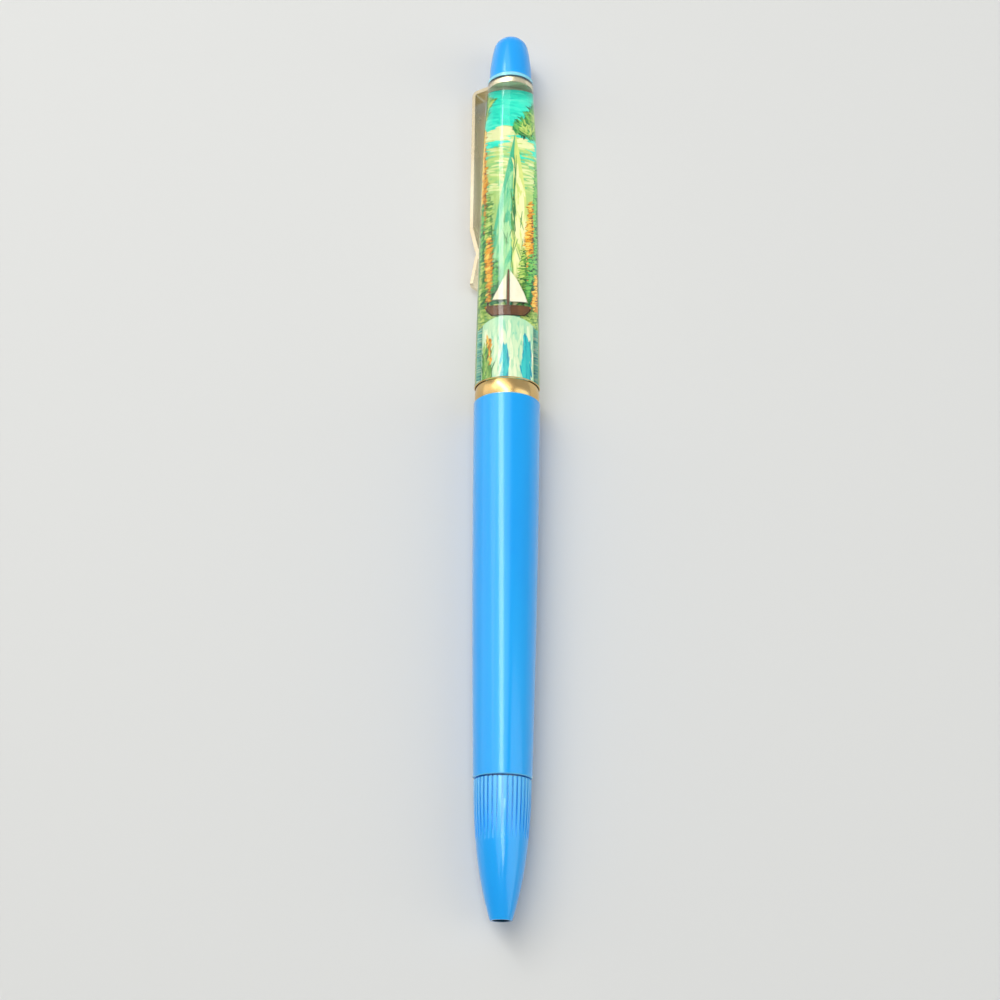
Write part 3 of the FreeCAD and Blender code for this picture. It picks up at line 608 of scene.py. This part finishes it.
def stroke_tree():
    """Geometry nodes that scatter brush strokes over a patch; each stroke keeps a random shade."""
    tree = bpy.data.node_groups.new("brush_strokes", "GeometryNodeTree")
    face = tree.interface
    face.new_socket("Geometry", in_out="INPUT", socket_type="NodeSocketGeometry")
    for label in ("Density", "Stroke Length", "Stroke Width", "Lean", "Lean Spread", "Lift",
                  "Shade Low", "Shade High"):
        face.new_socket(label, in_out="INPUT", socket_type="NodeSocketFloat")
    face.new_socket("Seed", in_out="INPUT", socket_type="NodeSocketInt")
    face.new_socket("Ink", in_out="INPUT", socket_type="NodeSocketMaterial")
    face.new_socket("Geometry", in_out="OUTPUT", socket_type="NodeSocketGeometry")
    add = tree.nodes.new
    join = tree.links.new
    given = add("NodeGroupInput").outputs
    result = add("NodeGroupOutput")

    def pick(low, high, seed_step):
        node = add("FunctionNodeRandomValue")
        node.data_type = "FLOAT"
        ends = [socket for socket in node.inputs if socket.type == "VALUE"]
        for socket, value in zip(ends, (low, high)):
            if isinstance(value, float):
                socket.default_value = value
            else:
                join(value, socket)
        step = add("ShaderNodeMath")
        join(given["Seed"], step.inputs[0])
        step.inputs[1].default_value = seed_step
        join(step.outputs[0], node.inputs["Seed"])
        return [socket for socket in node.outputs if socket.type == "VALUE"][0]

    scatter = add("GeometryNodeDistributePointsOnFaces")
    join(given["Geometry"], scatter.inputs["Mesh"])
    join(given["Density"], scatter.inputs["Density"])
    join(given["Seed"], scatter.inputs["Seed"])
    blob = add("GeometryNodeMeshCircle")
    blob.fill_type = "NGON"
    blob.inputs["Vertices"].default_value = STROKE_CORNERS
    blob.inputs["Radius"].default_value = 0.5
    size = add("ShaderNodeCombineXYZ")
    join(given["Stroke Width"], size.inputs["X"])
    join(given["Stroke Length"], size.inputs["Y"])
    size.inputs["Z"].default_value = 1
    stretch = add("GeometryNodeTransform")
    join(blob.outputs["Mesh"], stretch.inputs["Geometry"])
    join(size.outputs["Vector"], stretch.inputs["Scale"])
    minus = add("ShaderNodeMath")
    minus.operation = "MULTIPLY"
    minus.inputs[1].default_value = -1
    join(given["Lean Spread"], minus.inputs[0])
    angle = add("ShaderNodeMath")
    join(given["Lean"], angle.inputs[0])
    join(pick(minus.outputs[0], given["Lean Spread"], LEAN_DRAW), angle.inputs[1])
    turn = add("ShaderNodeCombineXYZ")
    join(angle.outputs[0], turn.inputs["Z"])
    copies = add("GeometryNodeInstanceOnPoints")
    join(scatter.outputs["Points"], copies.inputs["Points"])
    join(stretch.outputs["Geometry"], copies.inputs["Instance"])
    join(turn.outputs["Vector"], copies.inputs["Rotation"])
    join(pick(SIZE_LOW, SIZE_HIGH, SIZE_DRAW), copies.inputs["Scale"])
    keep = add("GeometryNodeStoreNamedAttribute")
    keep.data_type = "FLOAT"
    keep.domain = "INSTANCE"
    keep.inputs["Name"].default_value = "shade"
    join(copies.outputs["Instances"], keep.inputs["Geometry"])
    join(pick(given["Shade Low"], given["Shade High"], SHADE_DRAW), keep.inputs["Value"])
    real = add("GeometryNodeRealizeInstances")
    join(keep.outputs["Geometry"], real.inputs["Geometry"])
    shade = add("GeometryNodeInputNamedAttribute")
    shade.data_type = "FLOAT"
    shade.inputs["Name"].default_value = "shade"
    rise = add("ShaderNodeMath")
    rise.operation = "MULTIPLY"
    join(shade.outputs["Attribute"], rise.inputs[0])
    join(given["Lift"], rise.inputs[1])
    up = add("ShaderNodeCombineXYZ")
    join(rise.outputs[0], up.inputs["Z"])
    lifted = add("GeometryNodeSetPosition")
    join(real.outputs["Geometry"], lifted.inputs["Geometry"])
    join(up.outputs["Vector"], lifted.inputs["Offset"])
    inked = add("GeometryNodeSetMaterial")
    join(lifted.outputs["Geometry"], inked.inputs["Geometry"])
    join(given["Ink"], inked.inputs["Material"])
    join(inked.outputs["Geometry"], result.inputs["Geometry"])
    return tree


brush = stroke_tree()
brush_inputs = {item.name: item.identifier for item in brush.interface.items_tree if item.in_out == "INPUT"}


def strokes(name, outline, layer, ink, count, length, width, lean, spread_angle, seed, shades=(0.0, 1.0),
            top=back_top):
    """Strokes scattered over an outline: roughly how many, their size in millimetres, angles in degrees."""
    patch = flat_patch(name + "_patch", outline, top + layer * LAYER, [])
    area = sum(polygon.area for polygon in patch.data.polygons)
    modifier = patch.modifiers.new("strokes", "NODES")
    modifier.node_group = brush
    given = {"Density": count / area, "Stroke Length": length * MM, "Stroke Width": width * MM,
             "Lean": math.radians(lean), "Lean Spread": math.radians(spread_angle), "Lift": STROKE_LIFT,
             "Shade Low": shades[0], "Shade High": shades[1], "Seed": seed, "Ink": ink}
    for label, value in given.items():
        modifier[brush_inputs[label]] = value
    bpy.context.view_layer.update()
    done = bpy.data.meshes.new_from_object(patch.evaluated_get(bpy.context.evaluated_depsgraph_get()))
    bpy.data.objects.remove(patch)
    done.name = name
    for vertex in done.vertices:
        limit = half_width(vertex.co.y) * EDGE_KEPT
        vertex.co.x = axis_x + min(max(vertex.co.x - axis_x, -limit), limit)
        vertex.co.y = min(max(vertex.co.y, PICTURE_LOW - TUCK), PICTURE_HIGH)
    piece = bpy.data.objects.new(name, done)
    bpy.context.scene.collection.objects.link(piece)
    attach(piece, "pen_body")


SKIRT_LEAN, SPINDLE_LEAN = 122, 116
SPINDLE_STEPS = 7
SKIRT_TUCK, SPINDLE_TUCK = 0.5, 0.72
TRUNK_LOW, TRUNK_HIGH, TRUNK_SHARE = 0.035, 0.012, 0.8
ROOT = 1.8
CROWN_EDGE = 0.99
LIT_ASIDE, LIT_UP, LIT_LIMIT = 0.02, 0.3, 0.04
BOUGHS_PER_AREA = 60
CLOUD_STEPS = 18
FLAT_BASE = 0.25


def spindle(share):
    """How wide a larch is at a share of its height: it swells to a third of the way up, then tapers."""
    return 0.55 + 1.5 * share if share < 0.3 else 1.35 * (1 - share) + 0.05


def tree_crown(name, across, foot, tall, wide, layer, ink, seed, tiers):
    """A trunk line, a dark crown that is a spindle or has tiers of skirts, and lighter boughs over it."""
    top = foot + tall * TRUNK_SHARE
    field(name + "_trunk", [(across - TRUNK_LOW, foot - ROOT), (across + TRUNK_LOW, foot - ROOT),
          (across + TRUNK_HIGH, top), (across - TRUNK_HIGH, top)], layer=layer, ink=trunk_ink, shade=0.2)
    chance = random.Random(seed)
    steps = tiers or SPINDLE_STEPS
    step = tall / steps
    tuck = SKIRT_TUCK if tiers else SPINDLE_TUCK
    right, left = [], []
    for side in (right, left):
        for tier in range(steps):
            share = tier / steps
            low = foot + tall * share
            full = wide * ((1 - share) if tiers else spindle(share)) * chance.uniform(0.82, 1.12)
            side += [(full, low + step * 0.12), (full * tuck, low + step * 0.95)]
    outline = [(across + x, y) for x, y in right] + [(across, foot + tall)]
    outline += [(across - x, y) for x, y in reversed(left)]
    outline = [(min(max(x, -CROWN_EDGE), CROWN_EDGE), y) for x, y in outline]
    field(name, outline, layer=layer + 0.3, ink=ink, shade=0.02)
    count = int(tall * wide * BOUGHS_PER_AREA)
    lean = SKIRT_LEAN if tiers else SPINDLE_LEAN
    lit = [(x - LIT_ASIDE, y + LIT_UP) for x, y in outline if x - LIT_ASIDE <= across + LIT_LIMIT]
    strokes(name + "_boughs", outline, layer=layer + 0.7, ink=ink, count=count, length=0.7, width=0.2,
            lean=lean, spread_angle=30, seed=seed, shades=(0.1, 0.7))
    strokes(name + "_lights", lit, layer=layer + 1.4, ink=ink, count=count // 2, length=0.55, width=0.2,
            lean=lean, spread_angle=36, seed=seed + 1, shades=(0.6, 1.1))


def cloud_outline(across, up, wide, tall):
    """An oval with a flattened base."""
    points = []
    for t in range(CLOUD_STEPS):
        turn = t * 2 * math.pi / CLOUD_STEPS
        puff = 1 if t <= CLOUD_STEPS // 2 else FLAT_BASE
        points.append((across + wide * math.cos(turn), up + tall * puff * math.sin(turn)))
    return points


sky_ink = printed("sky_ink", [tone(0, 196, 176), tone(14, 222, 192), tone(40, 238, 206),
                  tone(120, 246, 216)], scale=900, stretch=(0.5, 1.2, 1), sway=1.2, swing=0.8)
haze_ink = printed("haze_ink", [tone(96, 198, 138), tone(158, 212, 126), tone(200, 222, 126),
                   tone(240, 240, 178)], scale=1100, stretch=(0.7, 0.7, 1), sway=0.8, swing=0.6)
sunlit_ink = printed("sunlit_ink", [tone(136, 204, 116), tone(192, 220, 118), tone(226, 232, 130),
                     tone(248, 244, 184)], scale=1700, stretch=(1, 0.14, 1), sway=0.5, swing=1.0)
shade_ink = printed("shade_ink", [tone(30, 150, 116), tone(66, 184, 138), tone(110, 206, 148),
                    tone(176, 226, 160)], scale=1700, stretch=(1, 0.14, 1), sway=0.5, swing=1.0)
ridge_ink = printed("ridge_ink", [tone(24, 84, 50), tone(60, 134, 78), tone(110, 170, 90)])
gold_ink = printed("gold_ink", [tone(100, 58, 8), tone(208, 128, 4), tone(246, 168, 10),
                   tone(252, 216, 96)], scale=1900)
meadow_ink = printed("meadow_ink", [tone(18, 80, 42), tone(52, 124, 56), tone(100, 162, 66),
                     tone(174, 204, 100)], scale=1600)
fir_ink = printed("fir_ink", [tone(4, 44, 30), tone(14, 98, 54), tone(44, 152, 78), tone(128, 206, 96)],
                  scale=1900)
leaf_ink = printed("leaf_ink", [tone(24, 92, 40), tone(68, 140, 52), tone(128, 180, 70),
                   tone(204, 222, 116)], scale=1700)
trunk_ink = printed("trunk_ink", [tone(30, 20, 10), tone(72, 44, 18), tone(120, 74, 30)])
lake_ink = printed("lake_ink", [tone(0, 150, 168), tone(50, 196, 184), tone(136, 224, 192),
                   tone(220, 246, 222)], scale=1500, stretch=(0.35, 1, 1), sway=0.8, swing=0.9)
bank_ink = printed("bank_ink", [tone(104, 200, 170), tone(164, 224, 184), tone(206, 236, 190),
                   tone(240, 246, 208)], scale=1600, stretch=(1, 0.16, 1), sway=0.5, swing=0.8)
bank_blue_ink = printed("bank_blue_ink", [tone(0, 138, 166), tone(0, 170, 186), tone(56, 204, 200)],
                        scale=1600, stretch=(1, 0.2, 1))

TOP_UP = (PICTURE_HIGH - PICTURE_LOW) / MM
FOOT_UP = (back_low.y - PICTURE_LOW) / MM
film_sheet("picture_back_film", [(-1, FOOT_UP), (1, FOOT_UP), (1, TOP_UP), (-1, TOP_UP)],
           middle=picture_mid, material=haze_ink, node="background_film")

# sky: turquoise at the top, thinning into pale haze behind the peak
field("sky_field", [(-1, 39), (1, 38), (1, TOP_UP), (-1, TOP_UP)], layer=1, ink=sky_ink, shade=0.45)
strokes("sky_strokes", [(-1, 40), (1, 39), (1, TOP_UP), (-1, TOP_UP)], layer=2, ink=sky_ink, count=420,
        length=1.3, width=0.42, lean=78, spread_angle=26, seed=11, shades=(0.2, 0.8))
strokes("haze_strokes", [(-1, 33), (1, 33), (1, 39.4), (0.2, 41.5), (-1, 40.4)], layer=3, ink=haze_ink,
        count=300, length=1.2, width=0.36, lean=82, spread_angle=22, seed=12)
for i, cloud in enumerate([(-0.5, 42.6, 0.34, 1.5), (-0.16, 43.4, 0.26, 1.2), (0.34, 41.2, 0.4, 1.4)]):
    strokes("cloud_%d" % (i + 1), cloud_outline(*cloud), layer=3.5, ink=haze_ink, count=46, length=1.2,
            width=0.5, lean=80, spread_angle=24, seed=90 + i, shades=(0.5, 1.1))

# peak: a tall mountain, sunlit on its right flank, with long streaks of snow and thin dark ridges
field("peak_shade_side", [(-0.86, 13), (0.14, 13), (0.1, 24), (0.1, 34), (0.16, 43.5), (0.04, 40.5),
      (-0.16, 35), (-0.3, 31.5), (-0.5, 25), (-0.66, 19)], layer=5, ink=shade_ink, shade=0.45)
field("peak_sun_side", [(0.1, 13), (0.94, 13), (0.8, 20), (0.62, 27), (0.5, 33), (0.34, 38.5), (0.16, 43.5),
      (0.1, 34), (0.1, 24)], layer=5, ink=sunlit_ink, shade=0.6)
strokes("peak_shade_streaks", [(-0.66, 14), (0.04, 14), (0.06, 36), (-0.1, 34), (-0.36, 26)], layer=6,
        ink=shade_ink, count=220, length=3.0, width=0.24, lean=-5, spread_angle=7, seed=13,
        shades=(0.25, 0.95))
strokes("peak_sun_streaks", [(0.14, 14), (0.78, 14), (0.44, 32), (0.18, 39), (0.14, 30)], layer=6,
        ink=sunlit_ink, count=240, length=3.4, width=0.24, lean=6, spread_angle=6, seed=14,
        shades=(0.3, 1.0))
strokes("peak_ridges", [(0.06, 18), (0.16, 18), (0.2, 39), (0.12, 39)], layer=7, ink=ridge_ink, count=16,
        length=4.6, width=0.09, lean=2, spread_angle=5, seed=15)
strokes("peak_gullies", [(-0.5, 16), (0.6, 16), (0.3, 32), (-0.16, 32)], layer=7, ink=ridge_ink, count=22,
        length=2.6, width=0.07, lean=0, spread_angle=12, seed=16, shades=(0.4, 1.0))

# meadow slopes at the feet of both woods
field("left_slope", [(-1, 8), (0.1, 12.4), (-0.1, 14.2), (-0.5, 18.5), (-0.72, 26), (-1, 30)], layer=9,
      ink=meadow_ink, shade=0.45)
field("right_slope", [(1, 8), (1, 27), (0.8, 21.5), (0.56, 16.8), (0.3, 13.8), (0.0, 12.6)], layer=9,
      ink=meadow_ink, shade=0.35)
strokes("left_grass", [(-1, 9), (0.0, 12.6), (-0.4, 17), (-0.7, 25), (-1, 28)], layer=10, ink=meadow_ink,
        count=340, length=0.8, width=0.24, lean=24, spread_angle=26, seed=17)
strokes("right_grass", [(1, 9), (1, 25), (0.6, 17), (0.2, 13)], layer=10, ink=meadow_ink, count=280,
        length=0.8, width=0.24, lean=-24, spread_angle=26, seed=18)

# larches, leafy trees and firs on both sides, the tallest ones outermost and furthest back;
# each row is across, foot, height, half width, tiers of skirts (none for a spindle) and ink
left_wood = [(-0.9, 19.5, 25.0, 0.26, 0, gold_ink), (-0.62, 17.4, 15.5, 0.18, 0, leaf_ink),
             (-0.88, 15.0, 16.0, 0.22, 6, fir_ink), (-0.6, 13.9, 11.5, 0.18, 0, gold_ink),
             (-0.38, 13.4, 7.8, 0.13, 5, fir_ink), (-0.84, 11.8, 9.0, 0.2, 0, leaf_ink)]
right_wood = [(0.92, 20.0, 19.0, 0.26, 7, fir_ink), (0.68, 17.4, 14.0, 0.2, 0, gold_ink),
              (0.9, 14.5, 13.0, 0.2, 6, fir_ink), (0.46, 14.2, 8.8, 0.15, 0, leaf_ink),
              (0.7, 12.2, 9.8, 0.2, 6, fir_ink), (0.92, 11.4, 7.6, 0.17, 0, gold_ink)]
for side, wood, first_seed in (("left", left_wood, 40), ("right", right_wood, 60)):
    for i, (across, foot, tall, wide, tiers, ink) in enumerate(wood):
        tree_crown("%s_tree_%d" % (side, i + 1), across, foot, tall, wide, layer=11 + 2 * i, ink=ink,
                   seed=first_seed + 3 * i, tiers=tiers)

# bushes at the edge of both woods
strokes("left_bushes", [(-1, 9.6), (-0.2, 11.8), (-0.34, 13.6), (-1, 12.6)], layer=24, ink=leaf_ink,
        count=240, length=0.5, width=0.3, lean=30, spread_angle=60, seed=80)
strokes("right_bushes", [(1, 9.6), (1, 12.4), (0.44, 13.4), (0.26, 11.8)], layer=24, ink=leaf_ink,
        count=200, length=0.5, width=0.3, lean=-30, spread_angle=60, seed=81)

# a near pine bough that hangs into the sky from the right, and a smaller one from the left
field("bough_right_stem", [(1, 46.2), (1, 46.9), (0.5, 45.6), (0.14, 44.2), (0.1, 43.9), (0.5, 45.0)],
      layer=11, ink=trunk_ink, shade=0.3)
strokes("bough_right", [(0.16, 43.2), (1, 42.6), (1, 50.0), (0.7, 48.4), (0.4, 46.2), (0.12, 44.8)],
        layer=12, ink=fir_ink, count=330, length=1.25, width=0.15, lean=24, spread_angle=32, seed=82)
strokes("bough_right_lights", [(0.24, 43.6), (1, 43.4), (1, 48.8), (0.5, 46.2)], layer=13, ink=leaf_ink,
        count=150, length=1.0, width=0.14, lean=16, spread_angle=34, seed=83)
strokes("bough_left", [(-1, 45.4), (-0.74, 47.0), (-0.56, 49.6), (-1, 51.0)], layer=12, ink=leaf_ink,
        count=120, length=1.1, width=0.16, lean=-26, spread_angle=34, seed=84)
strokes("bough_left_dark", [(-1, 46.4), (-0.8, 48.0), (-0.76, 50.4), (-1, 51.0)], layer=13, ink=fir_ink,
        count=80, length=1.0, width=0.13, lean=-20, spread_angle=34, seed=85)

# lake: pale water with level ripples under a darker far shore
field("lake_field", [(-1, FOOT_UP), (1, FOOT_UP), (1, 10.6), (0.5, 11.6), (-0.1, 12.2), (-0.6, 11.6),
      (-1, 10.6)], layer=22, ink=lake_ink, shade=0.6)
strokes("lake_ripples", [(-1, -0.4), (1, -0.4), (1, 10.2), (0, 11.7), (-1, 10.2)], layer=23, ink=lake_ink,
        count=420, length=1.5, width=0.2, lean=88, spread_angle=7, seed=22)
strokes("shore_line", [(-1, 10.3), (-0.1, 11.8), (1, 10.3), (1, 10.9), (0, 12.5), (-1, 10.9)], layer=24,
        ink=ridge_ink, count=90, length=0.7, width=0.12, lean=86, spread_angle=12, seed=23)

# front film: the near bank, pale water and reeds, with a crisp curved top edge
front_low, front_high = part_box("foreground_film")
front_mid = (front_low.z + front_high.z) / 2
front_top = front_mid + FILM_HALF_THICK
FRONT_SHARE = (front_high.x - front_low.x) / 2 / half_width(PICTURE_LOW) * EDGE_KEPT
SIDE_UP = 9.8
MIDDLE_UP = (front_high.y - PICTURE_LOW) / MM
EDGE_STEPS = 24
bank_edge = []
for i in range(EDGE_STEPS + 1):
    part = 1 - 2 * i / EDGE_STEPS
    bank_edge.append((part * FRONT_SHARE, SIDE_UP + (MIDDLE_UP - SIDE_UP) * (1 - part * part)))
film_sheet("picture_front_film", [(-FRONT_SHARE, FOOT_UP), (FRONT_SHARE, FOOT_UP)] + bank_edge,
           middle=front_mid, material=bank_ink, node="foreground_film")
strokes("bank_water", [(-0.93, 0.4), (0.93, 0.4), (0.93, 8.6), (0, 9.8), (-0.93, 8.6)], layer=1,
        ink=bank_ink, count=260, length=2.4, width=0.3, lean=0, spread_angle=8, seed=31, shades=(0.2, 1.0),
        top=front_top)
strokes("bank_blue", [(0.46, 0.6), (0.86, 0.6), (0.82, 6.4), (0.58, 7.2)], layer=2, ink=bank_blue_ink,
        count=44, length=3.0, width=0.34, lean=5, spread_angle=8, seed=32, top=front_top)
strokes("bank_blue_left", [(-0.26, 0.8), (0.06, 0.8), (0.0, 5.4), (-0.16, 6.0)], layer=2, ink=bank_blue_ink,
        count=24, length=2.6, width=0.28, lean=-4, spread_angle=8, seed=35, top=front_top)
strokes("bank_reeds", [(-0.92, 0.2), (-0.5, 0.2), (-0.6, 5.6), (-0.9, 6.8)], layer=3, ink=meadow_ink,
        count=120, length=2.3, width=0.14, lean=-4, spread_angle=14, seed=33, top=front_top)
strokes("bank_gold", [(-0.66, 3.4), (-0.56, 3.4), (-0.6, 7.4), (-0.8, 7.6)], layer=4, ink=gold_ink,
        count=26, length=1.1, width=0.16, lean=-6, spread_angle=16, seed=34, top=front_top)


# ---- Floater ----
# A little sailing boat, die-cut from thick film and printed on both sides. It is free in the
# oil and drifts from one end of the tube to the other when the pen is tipped.
boat_low, boat_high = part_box("floater")
boat_mid = (boat_low.z + boat_high.z) / 2
boat_half = (boat_high.z - boat_low.z) / 2
HALF_BEAM = (boat_high.x - boat_low.x) / 2
TALL = boat_high.y - boat_low.y
STRAKE_INSET = 0.002 * MM
MAST_SHARE, SAIL_SHARE = 0.9, 0.8


def boat_part(name, outline, half_thick, material, shade):
    """A flat part of the boat; its outline is in half beams across and in boat heights up."""
    front, back = ([(axis_x + x * HALF_BEAM, boat_low.y + y * TALL, level) for x, y in outline]
                   for level in (boat_mid + half_thick, boat_mid - half_thick))
    part = slab(name, front, back, material, shade)
    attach(part, "boat")
    return part


sail_ink = printed("sail_ink", [tone(222, 206, 160), tone(246, 238, 206), tone(254, 250, 232)], scale=900)
hull = [(-1, 0.21), (-0.93, 0.12), (-0.7, 0.0), (0.7, 0.0), (0.93, 0.12), (1, 0.21)]
hull_piece = boat_part("boat_hull", hull, half_thick=boat_half, material=trunk_ink, shade=0.8)
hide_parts("floater")
boat_part("boat_strake", [(-0.97, 0.17), (0.97, 0.17), (1.0, 0.21), (-1.0, 0.21)],
          half_thick=boat_half - STRAKE_INSET, material=gold_ink, shade=0.6)
boat_part("boat_mast", [(-0.06, 0.205), (0.06, 0.205), (0.04, 1.0), (-0.04, 1.0)],
          half_thick=boat_half * MAST_SHARE, material=trunk_ink, shade=0.8)
boat_part("boat_sail", [(0.07, 0.29), (0.84, 0.3), (0.66, 0.52), (0.4, 0.76), (0.07, 0.98)],
          half_thick=boat_half * SAIL_SHARE, material=sail_ink, shade=0.7)
boat_part("boat_jib", [(-0.08, 0.34), (-0.08, 0.92), (-0.4, 0.62), (-0.68, 0.34)],
          half_thick=boat_half * SAIL_SHARE, material=sail_ink, shade=0.5)
